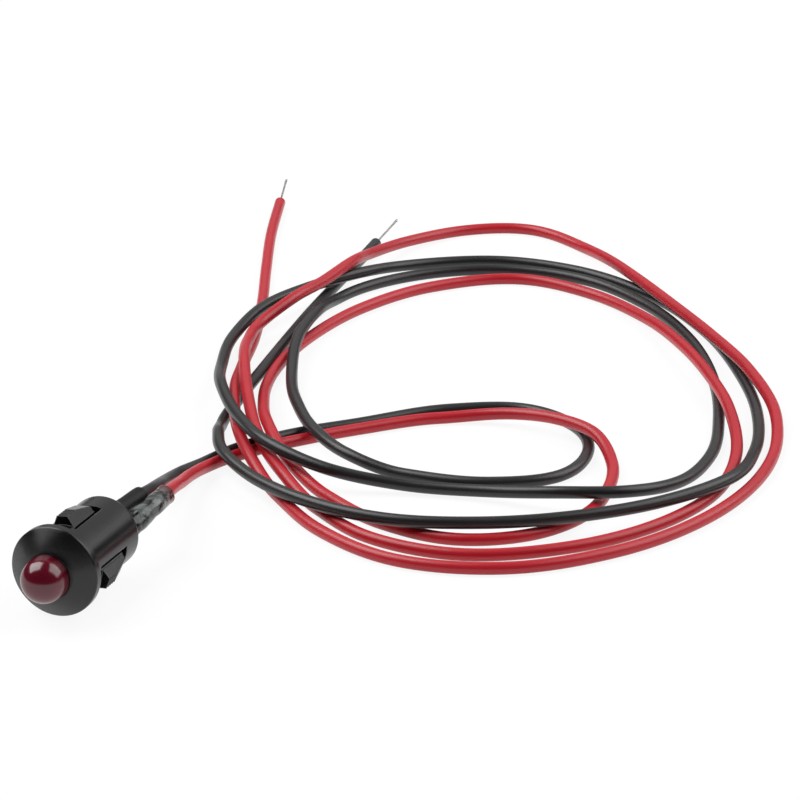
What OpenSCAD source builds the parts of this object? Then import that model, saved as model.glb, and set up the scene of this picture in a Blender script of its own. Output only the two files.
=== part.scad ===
// Panel indicator light: a red 5 mm LED in a black moulded holder that snaps into a panel
// hole, with a series resistor and a red and a black lead soldered on behind it.
//
// The lamp looks along -Y, its barrel runs back along +Y and +Z is up. The origin is on the
// barrel's axis, in the plane of the flange's back face, where the panel's front face goes.
// The lamp lies on its flange, and the leads lie on the same surface in a loose coil.

/* [Holder] */
// Wall of the barrel
barrel_wall = 0.9; // [0.7:0.05:1.3]
// Length of the barrel behind the flange
barrel_l = 11; // [9:0.1:13.5]
// Radius of the barrel's rear outer edge
barrel_round = 0.65; // [0.2:0.05:0.8]
// How far the flange stands out past the barrel
flange_lip = 0.975; // [0.7:0.025:2]
// Thickness of the flange at its rim
flange_t = 0.85; // [0.6:0.05:2]
// Rounding between the rim and the bezel
rim_round = 0.25; // [0.1:0.05:0.5]
// Height of the bezel in front of the rim
bezel_h = 1.4; // [0.6:0.05:1.9]
// Roundness of the bezel: 1 is a plain cone, and more is a fuller dome
bezel_bow = 1.3; // [1:0.05:1.8]

/* [Snap tongues] */
// Number of snap tongues round the barrel
tongue_count = 3; // [2:1:4]
// Angle of the first tongue, from +X towards +Z
tongue_angle = 97; // [90:1:110]
// Distance from the panel face to the front end of a tongue's slots
tongue_root = 1.9; // [1.8:0.1:2.2]
// Length of a tongue
tongue_l = 4.8; // [3.8:0.1:5.4]
// Width of a tongue
tongue_w = 2.6; // [2.1:0.1:3.2]
// Width of the slot at each side of a tongue
slot_w = 0.3; // [0.2:0.05:0.5]
// Gap behind a tongue's free end
end_gap = 1.1; // [0.6:0.1:1.4]
// Margin of plain tongue at each side of its cam
cam_margin = 0.1; // [0.1:0.05:0.3]
// Width of the cam's flat top, between its sloped sides
cam_top_w = 1.2; // [0.6:0.1:1.4]
// How far the cam stands out past the barrel
cam_h = 0.95; // [0.5:0.05:1.1]
// Length of the ramp at the cam's rear
cam_ramp = 2.7; // [1.5:0.1:3]
// Number of catch teeth on the cam
cam_teeth = 4; // [2:1:5]
// Depth of a catch tooth
tooth_h = 0.15; // [0.05:0.05:0.3]

/* [LED] */
// Diameter of the LED's body
led_d = 4.9; // [4.8:0.1:6.2]
// Length of the LED's body from its flange to the centre of the dome
led_l = 5.4; // [4.6:0.1:6.5]
// How far the LED's flange stands out past its body
led_lip = 0.45; // [0.3:0.05:0.6]
// Thickness of the LED's flange
led_flange_t = 1; // [0.7:0.05:1.3]
// Distance from the panel face back to the seat of the LED's flange
led_seat = 2.2; // [1.6:0.1:2.8]
// Play of the LED in its hole, on the radius
led_play = 0.05; // [0.03:0.01:0.15]
// Play of the LED's flange in the barrel, on the radius
bore_play = 0.15; // [0.05:0.05:0.3]
// Pitch of the LED's two legs
leg_pitch = 2.54; // [2.3:0.02:2.8]
// Width of an LED leg, which is square
leg_w = 0.5; // [0.4:0.05:0.6]

/* [Leads and sleeves] */
// Outer diameter of a lead's insulation
lead_d = 1.4; // [1.1:0.05:1.4]
// Diameter of a lead's bare strands
strand_d = 0.35; // [0.25:0.05:0.6]
// Length of bare strands at a lead's free end
bare_l = 10; // [5:0.5:12]
// Wall of both sleeves
sleeve_wall = 0.2; // [0.15:0.05:0.25]
// Play of a lead or the resistor in its sleeve, on the radius
sleeve_play = 0.1; // [0.08:0.01:0.15]
// Diameter of the resistor's body at its end caps
resistor_d = 1.9; // [1.5:0.05:2]
// Length of the resistor's body
resistor_l = 3.8; // [3:0.1:4.6]
// Diameter of the resistor's wire legs
resistor_leg_d = 0.45; // [0.35:0.05:0.55]

/* [Hidden] */
$fn = 96;

// Holder, worked out from the LED that it carries
led_r = led_d / 2;
led_flange_r = led_r + led_lip;
hole_r = led_r + led_play;
bore_r = led_flange_r + bore_play;
barrel_r = bore_r + barrel_wall;
flange_r = barrel_r + flange_lip;
rim_edge = 0.1;
rim_turn = 55;
led_back = led_seat + led_flange_t;

// Bead behind the LED's flange that keeps it in the barrel
bead_play = 0.05;
bead_l = 0.5;
bead_bite = 0.1;
bead_h = bore_play + bead_bite;
bead_front = led_back + bead_play;

// Tongues and their cams
cut_over = 0.3;
tongue_end = tongue_root + tongue_l;
cut_from = sqrt(pow(bore_r, 2) - pow(tongue_w / 2 + slot_w, 2)) - cut_over;
cut_to = barrel_r + cut_over;
cam_w = tongue_w - 2 * cam_margin;
cam_front = tongue_root + 0.3;
cam_rear = tongue_end - cam_ramp;
cam_sink = 0.45;
cam_side_r = sqrt(pow(barrel_r, 2) - pow(cam_w / 2, 2)) - 0.05;
cam_tip_h = 0.35;
tooth_top = 0.1;

// LED inside its lens: the cup faces the dome, on the axis
dome_centre = led_seat - led_l;
flat_over = 0.05;
leg_z = leg_pitch / 2;
cup_r = 0.75;
cup_l = 0.8;
cup_rim = 0.1;
cup_floor_r = 0.4;
cup_depth = 0.5;
cup_front = dome_centre + 1.3;
cup_back = cup_front + cup_l;
arm_lap = 0.4;
arm_l = 0.7;
arm_taper = 0.9;
arm_reach = 0.35;
die_w = 0.35;
die_h = 0.25;
die_front = cup_front + cup_depth - die_h;
post_reach = 0.9;
post_drop = 0.3;
post_l = 1.2;
post_taper = 0.8;
bond_d = 0.1;
bond_r = 0.52;

// Sleeves, as corners on their centre lines, which run from the LED's legs to their mouths
black_sleeve_r = lead_d / 2 + sleeve_play + sleeve_wall;
red_sleeve_r = resistor_d / 2 + sleeve_play + sleeve_wall;
sleeve_start = led_back + 0.9;
sleeve_bend = 1;
black_play = 1.04;
red_play = 0.18;
resistor_gap = 0.7;
black_out = bore_r - black_sleeve_r - black_play;
black_side = 110;
black_leg_end = [-0.15, led_back + 3.8, leg_z + 0.08];
black_exit = [black_out * cos(black_side), barrel_l, black_out * sin(black_side)];
black_mouth = black_exit + [0.6, 7.6, 0.05];
red_out = bore_r - red_sleeve_r - red_play;
red_side = -18;
red_leg_end = [0.2, led_back + 3.5, -leg_z - 0.13];
red_exit = [red_out * cos(red_side), barrel_l, red_out * sin(red_side)];
red_rise = unit([1.4, 4.78, 1.65]);
red_far = red_exit + red_rise * (resistor_l + 2 * resistor_gap);
red_mouth = red_far + [-0.55, 4.42, -0.35];
black_sleeve_line = [[0, sleeve_start, leg_z], black_leg_end, black_exit, black_mouth];
red_sleeve_line = [[0, sleeve_start, -leg_z], red_leg_end, red_exit, red_far, red_mouth];

// Soldered joints, each a ball round the ends of two conductors inside a sleeve
joint_r = 0.6;
joint_side = 0.35;
leg_lap = 0.1;
cathode_joint = along(black_leg_end, black_exit, 0.5);
anode_joint = along(red_leg_end, red_sleeve_line[0], 0.3);
resistor_joint = along(red_far, red_mouth, 0.9);

// Resistor, in the straight stretch of its sleeve
leg_bite = 0.3;
cap_share = 0.27;
cap_step = 0.15;
cap_shoulder = 0.25;
resistor_front = red_exit + red_rise * resistor_gap;
resistor_back = resistor_front + red_rise * resistor_l;

// Leads: the surface that they lie on, and the rise of one lead over another
cross_play = 0.1;
bed_z = -flange_r + lead_d / 2;
layer_rise = lead_d + cross_play;
lead_sides = 8;
sleeve_sides = 16;

// Where a lead's insulation starts, inside its sleeve
black_start = along(black_exit, black_leg_end, 0.9);
red_start = along(red_far, red_mouth, 2.2);

// Each lead's way down from its sleeve: x, y and how much of the drop is behind it
black_drop = [
    [0, 21.3, 0.096], [-0.85, 24.8, 0.278], [-2.4, 30, 0.593], [-3.4, 36, 0.871], [-2.75, 41.5, 0.995]];
red_drop = [
    [1.4, 24, 0.167], [0.05, 28.8, 0.446], [-1.1, 33.5, 0.676], [-1.6, 38.5, 0.875], [-0.75, 43, 0.955]];

// Each lead's route over the surface: x, y and how many leads it lies on top of
black_route = [
    [-1.6, 45.45, 0], [2.05, 51.7, 0], [8.3, 58.45, 0], [16.25, 66.55, 0], [24.75, 70.35, 0],
    [31.9, 67.35, 0], [35.55, 60.75, 0], [35.4, 52.6, 0], [28.25, 47.75, 0], [18.8, 46.2, 0],
    [11.45, 47.45, 0.75], [5.85, 51.4, 1], [0.7, 58.35, 1], [-4.25, 68.4, 0.5], [-7.7, 77.85, 1],
    [-9.75, 87.05, 1], [-10.7, 97.1, 0], [-5.9, 107.2, 0], [3.65, 114.2, 0], [14.8, 114.95, 0],
    [25.25, 108.85, 0], [34.15, 99.5, 0], [41.1, 88.2, 0], [45.55, 76.35, 0], [48.6, 64.4, 0],
    [48.5, 55.15, 0.25], [44.5, 47.65, 1], [38, 45.2, 1], [29.6, 44.55, 0.25], [20.15, 42.5, 0.25],
    [11.65, 40.5, 1.25], [4.35, 42.25, 2], [-2.15, 48.55, 2], [-7.55, 55.95, 2],
    [-13.35, 67.3, 0.75], [-16, 77.7, 0.5], [-16.65, 85.25, 1], [-13.75, 94.75, 1],
    [-10.5, 102.1, 1], [-7.2, 109.9, 0.25], [1.35, 116.9, 0], [13, 117.6, 0], [24.5, 112.45, 0],
    [35.25, 102.7, 0], [43.15, 91, 0], [49.1, 79.65, 0], [53.15, 67.75, 0.25], [54.2, 55.75, 1],
    [48.95, 46.8, 1], [42.25, 39.7, 1], [33.1, 33.9, 1], [23.05, 30.45, 1], [12.25, 32.65, 1],
    [4.6, 36.65, 1], [-0.85, 41.1, 1.25], [-3.85, 46.35, 1], [-6.2, 52.65, 0], [-7.3, 60, 0],
    [-9.1, 69.7, 0], [-10.3, 79.75, 0], [-12.05, 89.8, 0], [-12.95, 101.6, 0], [-14.25, 114.25, 0],
    [-14.6, 117.4, 0]];
red_route = [
    [0.35, 45.9, 0], [4.45, 51.7, 0], [9.5, 57.5, 0], [16.1, 63.3, 0], [24.05, 66.6, 0.5],
    [30.35, 65.45, 1], [35.6, 62.9, 1], [39.45, 57.3, 0.25], [41.2, 50.8, 0], [41.9, 43.85, 0],
    [38.65, 36.3, 0], [31.05, 31.5, 0], [22.2, 32.75, 0], [13.55, 37.7, 0], [6.85, 42.75, 0.5],
    [0.8, 50.55, 1.25], [-3.75, 58.3, 0.5], [-6.8, 66.05, 0], [-7.9, 74.35, 0], [-8.2, 83.95, 0],
    [-6.5, 94, 0], [-1.65, 104.6, 0], [7.9, 112.05, 0], [17.55, 110.05, 0], [27, 103.45, 0.25],
    [35.45, 94.05, 0.75], [42.4, 83.65, 1], [46.55, 76.85, 1], [51.35, 65.85, 0.25],
    [52.9, 53.85, 0], [49.85, 44.45, 0], [43.05, 34.5, 0], [32.4, 27.75, 0], [22.1, 28.5, 0],
    [13.5, 34.35, 0], [7.2, 39.95, 0.75], [0.65, 47.05, 1], [-4.35, 56.45, 1.5], [-8.8, 65.05, 2],
    [-12.95, 74.2, 1.25], [-14.45, 80.25, 1], [-12.65, 87.05, 2], [-11.35, 93.4, 2],
    [-11.45, 101.6, 2], [-12.1, 109.3, 1], [-10.2, 118.85, 0.25], [-5.95, 126.6, 0],
    [1.45, 130.4, 0], [10, 126.55, 0], [16.95, 119.5, 0.75], [22.95, 112.9, 1], [30.05, 106.2, 1],
    [37.5, 97.75, 1], [45.5, 88.8, 1], [51.55, 79.25, 0.5], [55.15, 69.2, 0], [55.8, 59, 0],
    [53.9, 47.35, 0], [48.05, 35.55, 0], [38.8, 26.45, 0], [27.3, 23.9, 0], [16.6, 28.4, 0],
    [8.55, 35.75, 0], [1.95, 42.65, 1], [-3.9, 50.95, 1], [-7.85, 59.65, 1], [-11.5, 68.95, 0.25],
    [-14.3, 79.9, 0], [-18.45, 90.4, 0], [-23.55, 102.25, 0], [-28.7, 115.7, 0], [-32.9, 127.75, 0]];

// Unit vector along v
function unit(v) = v / norm(v);

// Point at a distance from a, on the way to b
function along(a, b, distance) = a + unit(b - a) * distance;

// A path with each of its inner corners eased into a curve
function eased(path, cut, steps) = concat(
    [path[0]],
    [for (i = [1 : len(path) - 2], s = [0 : steps])
        let (t = s / steps,
             a = along(path[i], path[i - 1], cut),
             b = along(path[i], path[i + 1], cut))
        (1 - t) * (1 - t) * a + 2 * t * (1 - t) * path[i] + t * t * b],
    [path[len(path) - 1]]);

// Points of a lead between its sleeve and the surface
function dropped(points, mouth) =
    [for (p = points) [p[0], p[1], mouth[2] + (bed_z - mouth[2]) * p[2]]];

// Points of a lead on the surface, or on the leads that it crosses
function bedded(points) = [for (p = points) [p[0], p[1], bed_z + p[2] * layer_rise]];

// Direction of a path at its point i
function heading(path, i) = unit(path[min(i + 1, len(path) - 1)] - path[max(i - 1, 0)]);

// One ring of a swept tube: its corners stand square to the path, the first one lowest
function ring(path, i, r, sides) =
    let (ahead = heading(path, i),
         side = unit(cross(ahead, [0, 0, 1])),
         up = cross(side, ahead))
    [for (k = [0 : sides - 1]) path[i] + r * (sin(k * 360 / sides) * side - cos(k * 360 / sides) * up)];

// Corners of all the rings along a path
function rings(path, r, sides) = [for (i = [0 : len(path) - 1]) each ring(path, i, r, sides)];

// Triangles of a tube's wall, starting at corner number base
function wall_faces(count, sides, base, inward) =
    [for (i = [0 : count - 2], k = [0 : sides - 1])
        let (a = base + i * sides + k, b = base + i * sides + (k + 1) % sides)
        each inward ? [[a, b, b + sides], [a, b + sides, a + sides]]
                    : [[a, b + sides, b], [a, a + sides, b + sides]]];

// A solid tube along a path
module sweep(path, r, sides) {
    last = (len(path) - 1) * sides;
    polyhedron(
        points = rings(path, r, sides),
        faces = concat(
            wall_faces(len(path), sides, 0, false),
            [[for (k = [0 : sides - 1]) k]],
            [[for (k = [sides - 1 : -1 : 0]) last + k]]));
}

// A hollow tube along a path, open at both ends
module hose(path, r_outer, r_inner, sides) {
    n = len(path);
    last = (n - 1) * sides;
    inner = n * sides;
    polyhedron(
        points = concat(rings(path, r_outer, sides), rings(path, r_inner, sides)),
        faces = concat(
            wall_faces(n, sides, 0, false),
            wall_faces(n, sides, inner, true),
            [for (k = [0 : sides - 1])
                let (m = (k + 1) % sides)
                each [[k, m, inner + m], [k, inner + m, inner + k],
                      [last + k, last + inner + m, last + m],
                      [last + k, last + inner + k, last + inner + m]]]));
}

// Stand a shape that was drawn up the Z axis on the barrel's axis, looking back
module lay_back() {
    rotate([-90, 0, 0]) children();
}

// Put a shape that was drawn up the Z axis at a, pointing at b
module aim(a, b) {
    d = b - a;
    translate(a)
        rotate([0, acos(d[2] / norm(d)), atan2(d[1], d[0])])
            children();
}

// A round wire from a to b
module wire(a, b, d) {
    aim(a, b) cylinder(h = norm(b - a), d = d, $fn = 32);
}

// Turn a shape that was drawn for a tongue along +X to the place of each tongue
module at_tongues() {
    for (i = [0 : tongue_count - 1])
        rotate([0, -tongue_angle - i * 360 / tongue_count, 0]) children();
}

// Cuts that free one tongue: a slot at each side and a gap behind its end
module tongue_cuts() {
    for (z = [-tongue_w / 2 - slot_w, tongue_w / 2])
        translate([cut_from, tongue_root, z])
            cube([cut_to - cut_from, tongue_l + end_gap, slot_w]);
    translate([cut_from, tongue_end, -tongue_w / 2 - slot_w])
        cube([cut_to - cut_from, end_gap, tongue_w + 2 * slot_w]);
}

// Side view of a cam as [radius, distance back] corners: catch teeth, a flat top and a ramp
function cam_side() = let (
    top = barrel_r + cam_h,
    pitch = (cam_rear - cam_front) / cam_teeth) concat(
    [[barrel_r - cam_sink, cam_front]],
    [for (i = [0 : cam_teeth - 1]) each [
        [top, cam_front + i * pitch],
        [top, cam_front + i * pitch + tooth_top],
        [top - tooth_h, cam_front + (i + 1) * pitch]]],
    [[top, cam_rear],
     [top, cam_rear + tooth_top],
     [barrel_r + cam_tip_h, tongue_end],
     [barrel_r - cam_sink, tongue_end]]);

// Cam of one tongue, whose sides slope in from the tongue's edges to its flat top
module tongue_cam() {
    intersection() {
        translate([0, 0, -cam_w / 2])
            linear_extrude(height = cam_w)
                polygon(cam_side());
        lay_back()
            linear_extrude(height = tongue_end)
                polygon([
                    [barrel_r - cam_sink, -cam_w / 2],
                    [cam_side_r, -cam_w / 2],
                    [barrel_r + cam_h, -cam_top_w / 2],
                    [barrel_r + cam_h, cam_top_w / 2],
                    [cam_side_r, cam_w / 2],
                    [barrel_r - cam_sink, cam_w / 2]]);
    }
}

// Half section of the holder without its tongues, as [radius, distance back] corners
function holder_section() = let (
    rim_in = rim_round * (1 - cos(rim_turn)),
    rim_up = rim_round * sin(rim_turn),
    bezel_w = flange_r - rim_in - hole_r) concat(
    [for (t = [0 : 0.125 : 1])
        [hole_r + bezel_w * t, -flange_t - rim_up - (bezel_h - rim_up) * (1 - pow(t, bezel_bow))]],
    [for (a = [rim_turn - 11 : -11 : 0])
        [flange_r - rim_round * (1 - cos(a)), -flange_t - rim_round * sin(a)]],
    [[flange_r, -rim_edge],
     [flange_r - rim_edge, 0],
     [barrel_r, 0]],
    [for (a = [0 : 15 : 90])
        [barrel_r - barrel_round * (1 - cos(a)), barrel_l - barrel_round * (1 - sin(a))]],
    [[bore_r, barrel_l],
     [bore_r, bead_front + bead_l],
     [bore_r - bead_h, bead_front + bead_l / 2],
     [bore_r, bead_front],
     [bore_r, led_seat],
     [hole_r, led_seat]]);

module housing() {
    color([0.16, 0.16, 0.17])
    union() {
        difference() {
            lay_back() rotate_extrude() polygon(holder_section());
            at_tongues() tongue_cuts();
        }
        at_tongues() tongue_cam();
    }
}

// Plate of the lead frame, drawn as [z, y] corners
module frame_plate(corners) {
    translate([-leg_w / 2, 0, 0])
        rotate([90, 0, 90])
            linear_extrude(height = leg_w)
                polygon([for (c = corners) [c[1], c[0]]]);
}

// The LED's leg that carries the cup
module cathode_shape() {
    outer = leg_z + leg_w / 2;
    inner = leg_z - leg_w / 2;
    leg_back = cathode_joint[1] - leg_lap;
    difference() {
        union() {
            frame_plate([[outer, cup_back - arm_lap], [outer, leg_back], [inner, leg_back],
                [inner, cup_back + arm_l + arm_taper], [-arm_reach, cup_back + arm_l],
                [-arm_reach, cup_back - arm_lap]]);
            translate([0, cup_front, 0]) lay_back() cylinder(h = cup_l, r = cup_r, $fn = 48);
        }
        translate([0, cup_front, 0]) lay_back()
            cylinder(h = cup_depth, r1 = cup_r - cup_rim, r2 = cup_floor_r, $fn = 48);
    }
}

// The LED's other leg, with the post that the bond wire lands on
module anode_shape() {
    outer = -leg_z - leg_w / 2;
    inner = -leg_z + leg_w / 2;
    leg_back = anode_joint[1] - leg_lap;
    frame_plate([[outer, die_front + post_drop], [outer, leg_back], [inner, leg_back],
        [inner, die_front + post_l + post_taper], [-post_reach, die_front + post_l],
        [-post_reach, die_front], [-leg_z, die_front]]);
}

module die_shape() {
    translate([-die_w / 2, die_front, -die_w / 2]) cube([die_w, die_h, die_w]);
}

// Gold wire that arches from the die to the anode's post
module bond_shape() {
    translate([0, die_front, -bond_r])
        rotate([0, 90, 180])
            rotate_extrude(angle = 180, $fn = 48)
                translate([bond_r, 0]) circle(d = bond_d, $fn = 16);
}

module led_lens() {
    flat_z = led_r + flat_over;
    color([0.55, 0.02, 0.05])
    difference() {
        lay_back() union() {
            translate([0, 0, dome_centre]) sphere(r = led_r);
            translate([0, 0, dome_centre]) cylinder(h = led_l + led_flange_t, r = led_r);
            translate([0, 0, led_seat]) cylinder(h = led_flange_t, r = led_flange_r);
        }
        translate([-led_flange_r, led_seat - flat_over, flat_z])
            cube([2 * led_flange_r, led_flange_t + 2 * flat_over, led_lip]);
        cathode_shape();
        anode_shape();
        die_shape();
        bond_shape();
    }
}

module led_cathode_frame() {
    color([0.75, 0.75, 0.77]) cathode_shape();
}

module led_anode_frame() {
    color([0.75, 0.75, 0.77]) anode_shape();
}

module led_die() {
    color([0.35, 0.3, 0.2]) die_shape();
}

module led_bond_wire() {
    color([0.85, 0.65, 0.2]) bond_shape();
}

// A ball of solder round the ends of two conductors
module solder(centre) {
    color([0.7, 0.71, 0.73])
    difference() {
        translate(centre) sphere(r = joint_r, $fn = 48);
        children();
    }
}

module anode_solder() {
    solder(anode_joint) { anode_shape(); resistor_front_leg(); }
}

module cathode_solder() {
    solder(cathode_joint) { cathode_shape(); black_strands_inner(); }
}

module resistor_solder() {
    solder(resistor_joint) { resistor_rear_leg(); red_strands_inner(); }
}

module resistor_front_leg() {
    color([0.72, 0.72, 0.74])
        wire(along(anode_joint, resistor_front, joint_side),
            along(resistor_front, anode_joint, -leg_bite), resistor_leg_d);
}

module resistor_rear_leg() {
    color([0.72, 0.72, 0.74])
        wire(along(resistor_back, resistor_joint, -leg_bite),
            along(resistor_joint, resistor_back, leg_lap), resistor_leg_d);
}

// Dog-bone body: two round-shouldered end caps and a slimmer middle, seated on the two legs
module resistor_body() {
    cap_l = resistor_l * cap_share;
    cap_r = resistor_d / 2;
    color([0.78, 0.68, 0.48])
    difference() {
        aim(resistor_front, resistor_back)
            rotate_extrude($fn = 48)
                polygon([[0, 0], [cap_r - cap_shoulder, 0], [cap_r, cap_shoulder],
                    [cap_r, cap_l - cap_shoulder], [cap_r - cap_step, cap_l],
                    [cap_r - cap_step, resistor_l - cap_l],
                    [cap_r, resistor_l - cap_l + cap_shoulder], [cap_r, resistor_l - cap_shoulder],
                    [cap_r - cap_shoulder, resistor_l], [0, resistor_l]]);
        resistor_front_leg();
        resistor_rear_leg();
    }
}

module red_strands_inner() {
    color([0.8, 0.78, 0.74]) wire(along(resistor_joint, red_start, leg_lap), red_start, strand_d);
}

module black_strands_inner() {
    color([0.8, 0.78, 0.74]) wire(along(cathode_joint, black_start, joint_side), black_start, strand_d);
}

// A sleeve that is shrunk onto a line of corners
module sleeve(line, r) {
    hose(eased(line, sleeve_bend, 4), r, r - sleeve_wall, sleeve_sides);
}

module red_sleeve() {
    color([0.2, 0.19, 0.19]) sleeve(red_sleeve_line, red_sleeve_r);
}

module black_sleeve() {
    color([0.13, 0.13, 0.14]) sleeve(black_sleeve_line, black_sleeve_r);
}

// Whole centre lines of the leads, from inside their sleeves to their free ends
red_line = concat([red_start, red_mouth], dropped(red_drop, red_mouth), bedded(red_route));
black_line = concat([black_start, black_exit, black_mouth],
    dropped(black_drop, black_mouth), bedded(black_route));

module red_lead() {
    color([0.78, 0.1, 0.12]) sweep(red_line, lead_d / 2, lead_sides);
}

module black_lead() {
    color([0.12, 0.12, 0.13]) sweep(black_line, lead_d / 2, lead_sides);
}

// Bare strands that go straight on from a lead's free end
module strands_end(line) {
    tip = line[len(line) - 1];
    color([0.8, 0.78, 0.74]) wire(tip, tip + heading(line, len(line) - 1) * bare_l, strand_d);
}

module red_strands_end() {
    strands_end(red_line);
}

module black_strands_end() {
    strands_end(black_line);
}

housing();
led_lens();
led_cathode_frame();
led_anode_frame();
led_die();
led_bond_wire();
anode_solder();
resistor_front_leg();
resistor_body();
resistor_rear_leg();
resistor_solder();
cathode_solder();
red_strands_inner();
black_strands_inner();
red_sleeve();
black_sleeve();
red_lead();
black_lead();
red_strands_end();
black_strands_end();
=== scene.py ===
"""Panel indicator light: a red LED in a black snap-in holder, with a red and a black lead.

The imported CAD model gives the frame. This script dresses its pieces, and builds the clear
LED body, the two shrunk sleeves, the leads and their bare strands as smooth pieces of their
own. Lengths in the classes are in metres, unless a name or a comment says otherwise.
"""

import logging
import math
import random
from collections.abc import Callable, Iterable, Sequence
from dataclasses import dataclass
from enum import Enum
from functools import partial

import bpy
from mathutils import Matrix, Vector, noise


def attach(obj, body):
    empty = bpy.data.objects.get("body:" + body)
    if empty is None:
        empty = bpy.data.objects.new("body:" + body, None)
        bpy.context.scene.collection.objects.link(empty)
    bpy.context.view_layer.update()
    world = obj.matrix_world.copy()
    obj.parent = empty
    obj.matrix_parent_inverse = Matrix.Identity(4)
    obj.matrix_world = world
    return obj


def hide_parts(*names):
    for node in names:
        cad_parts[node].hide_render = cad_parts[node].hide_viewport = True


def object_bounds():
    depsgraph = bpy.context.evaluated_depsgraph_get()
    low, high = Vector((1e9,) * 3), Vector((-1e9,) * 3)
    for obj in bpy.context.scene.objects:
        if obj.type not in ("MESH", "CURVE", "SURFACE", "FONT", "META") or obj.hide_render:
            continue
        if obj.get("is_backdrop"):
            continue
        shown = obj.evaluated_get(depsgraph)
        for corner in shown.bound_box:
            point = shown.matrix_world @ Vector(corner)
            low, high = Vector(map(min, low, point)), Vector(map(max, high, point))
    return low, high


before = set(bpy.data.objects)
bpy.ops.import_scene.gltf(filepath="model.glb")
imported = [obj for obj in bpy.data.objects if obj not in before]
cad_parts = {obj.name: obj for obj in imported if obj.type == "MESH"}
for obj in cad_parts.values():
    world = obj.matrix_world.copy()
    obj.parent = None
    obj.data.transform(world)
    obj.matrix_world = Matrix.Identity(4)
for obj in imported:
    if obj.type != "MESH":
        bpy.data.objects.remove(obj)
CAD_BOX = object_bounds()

logging.basicConfig(level=logging.INFO, format="%(levelname)s %(message)s")
LOG = logging.getLogger("indicator")

MM = 0.001
BODY = "root"
PLASTIC_IOR = 1.5
BEVEL_SAMPLES = 8
# How far the rounded normal strays from the flat one where an edge's painted highlight starts and
# is full
EDGE_HIGHLIGHT_STARTS, EDGE_HIGHLIGHT_FULL = 0.01, 0.2
# Numbers of the Mix node's colour sockets
MIX_A, MIX_B, MIX_RESULT = 6, 7, 2

Colour = tuple[float, float, float]
Point = tuple[float, float, float]
Axes = tuple[Vector, Vector]
Profile = Sequence[tuple[float, float]]


# --------------------------------------------------------------------------- shader maths


class Socket:
    """A node's output that takes part in Python sums, each of which adds a Math node."""

    def __init__(self, graph: "Graph", out: bpy.types.NodeSocket) -> None:
        """Wrap an output.

        Args:
            graph: the graph that the output belongs to.
            out: the output itself.
        """
        self.graph = graph
        self.out = out

    def _math(self, operation: str, *terms: "Socket | float") -> "Socket":
        """Add a Math node and return its value."""
        node = self.graph.add(
            "ShaderNodeMath", {"operation": operation}, dict(enumerate(terms))
        )
        return Socket(self.graph, node.outputs[0])

    def __add__(self, other: "Socket | float") -> "Socket":
        """Return the sum."""
        return self._math("ADD", self, other)

    __radd__ = __add__

    def __sub__(self, other: "Socket | float") -> "Socket":
        """Return the difference."""
        return self._math("SUBTRACT", self, other)

    def __rsub__(self, other: "Socket | float") -> "Socket":
        """Return the difference with this socket on the right."""
        return self._math("SUBTRACT", other, self)

    def __mul__(self, other: "Socket | float") -> "Socket":
        """Return the product."""
        return self._math("MULTIPLY", self, other)

    __rmul__ = __mul__

    def __truediv__(self, other: "Socket | float") -> "Socket":
        """Return the quotient."""
        return self._math("DIVIDE", self, other)

    def __rtruediv__(self, other: "Socket | float") -> "Socket":
        """Return the quotient with this socket on the right."""
        return self._math("DIVIDE", other, self)

    def __gt__(self, other: "Socket | float") -> "Socket":
        """Return 1 where this value is greater, and 0 elsewhere."""
        return self._math("GREATER_THAN", self, other)

    def abs(self) -> "Socket":
        """Return the absolute value."""
        return self._math("ABSOLUTE", self)

    def sin(self) -> "Socket":
        """Return the sine."""
        return self._math("SINE", self)

    def step(self, low: float, high: float) -> "Socket":
        """Return a smooth rise from 0 at low to 1 at high."""
        node = self.graph.add(
            "ShaderNodeMapRange",
            {"interpolation_type": "SMOOTHSTEP"},
            {"Value": self, "From Min": low, "From Max": high},
        )
        return Socket(self.graph, node.outputs["Result"])


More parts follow.
